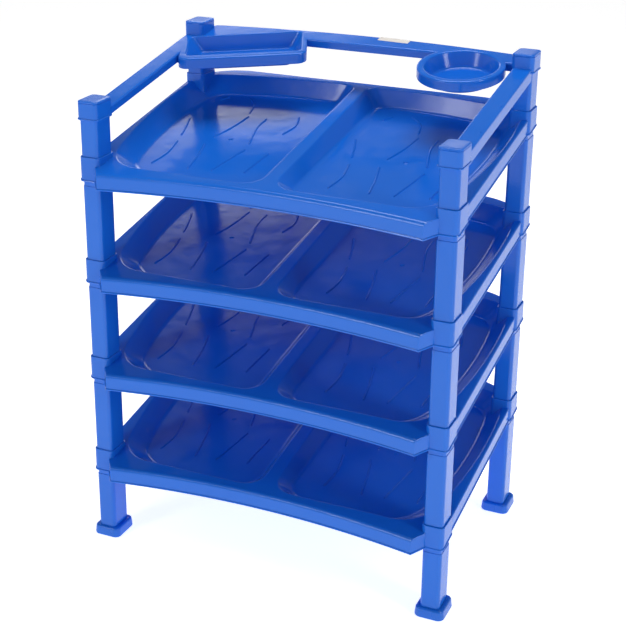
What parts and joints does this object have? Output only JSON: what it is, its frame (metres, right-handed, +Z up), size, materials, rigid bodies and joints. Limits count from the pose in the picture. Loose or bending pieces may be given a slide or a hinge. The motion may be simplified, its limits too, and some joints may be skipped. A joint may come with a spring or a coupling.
{
  "type": "shoe rack",
  "caption": "Moulded plastic shoe rack: sloping shelves with paired pans on stacked push-fit posts, under an open-fronted top rail carrying a corner tray and a round tray.",
  "frame": {"origin": "on the floor, in the middle of the rack's footprint", "axes": "+Z up, -Y the open front that the shelves slope down to, +X to the right seen from the front"},
  "size_m": [0.5206, 0.3704, 0.6786],
  "materials": {
    "shelf": "glossy injection-moulded polypropylene, solid blue",
    "frame": "glossy injection-moulded polypropylene, solid blue",
    "cap": "glossy injection-moulded polypropylene, solid blue",
    "tube": "glossy extruded or moulded polypropylene tube, solid blue",
    "foot": "semi-gloss moulded polypropylene, solid blue"
  },
  "bodies": {
    "root": {"cap_back_left": "cap", "cap_back_right": "cap", "cap_front_left": "cap", "cap_front_right": "cap", "foot_back_left": "foot", "foot_back_right": "foot", "foot_front_left": "foot", "foot_front_right": "foot", "leg_back_left": "tube", "leg_back_right": "tube", "leg_front_left": "tube", "leg_front_right": "tube", "post_1_2_back_left": "tube", "post_1_2_back_right": "tube", "post_1_2_front_left": "tube", "post_1_2_front_right": "tube", "post_2_3_back_left": "tube", "post_2_3_back_right": "tube", "post_2_3_front_left": "tube", "post_2_3_front_right": "tube", "post_3_4_back_left": "tube", "post_3_4_back_right": "tube", "post_3_4_front_left": "tube", "post_3_4_front_right": "tube", "post_top_back_left": "tube", "post_top_back_right": "tube", "post_top_front_left": "tube", "post_top_front_right": "tube", "shelf_tier_1": "shelf", "shelf_tier_2": "shelf", "shelf_tier_3": "shelf", "shelf_tier_4": "shelf", "top_frame": "frame"}
  },
  "joints": []
}
